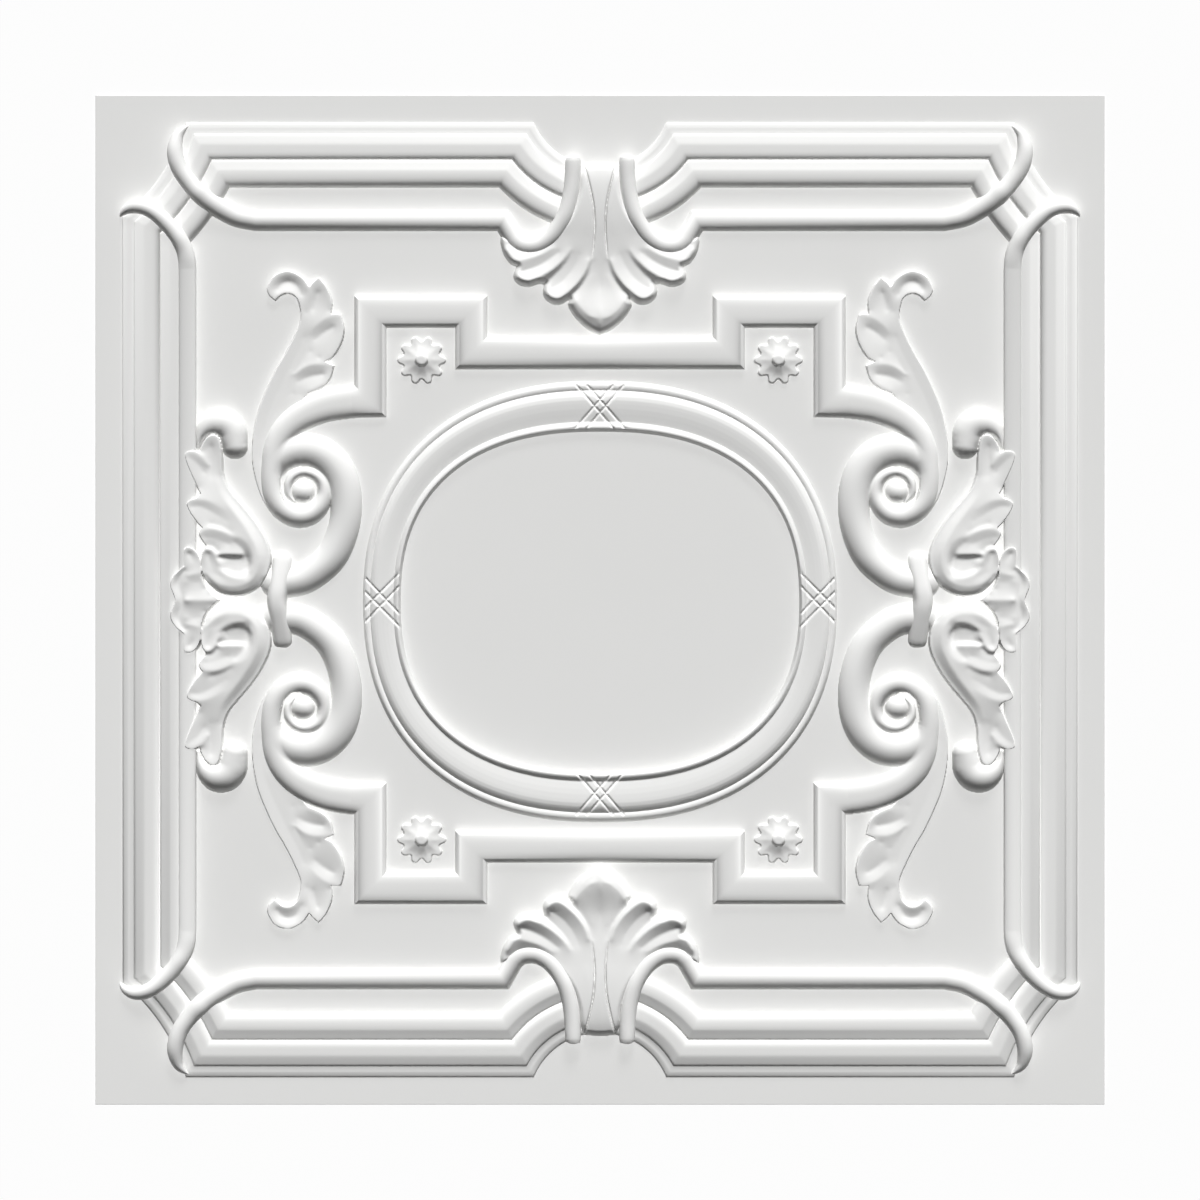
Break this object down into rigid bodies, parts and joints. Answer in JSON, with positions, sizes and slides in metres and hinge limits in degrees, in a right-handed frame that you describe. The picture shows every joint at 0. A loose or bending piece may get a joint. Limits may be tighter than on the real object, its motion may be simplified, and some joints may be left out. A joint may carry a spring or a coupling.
{
  "type": "wall panel",
  "caption": "Square relief wall panel formed from one thin plastic sheet, with a stepped border, cords, strapwork, scrolling leaves and a plain oval field.",
  "frame": {"origin": "centre of the flat back, on the plane that is glued to the wall", "axes": "+Z out of the wall through the decorated face, +Y up the panel, +X to the right of someone who faces it"},
  "size_m": [0.6, 0.6, 0.012],
  "materials": {
    "pvc": "smooth matt white"
  },
  "bodies": {
    "root": {"panel": "pvc"}
  },
  "joints": []
}
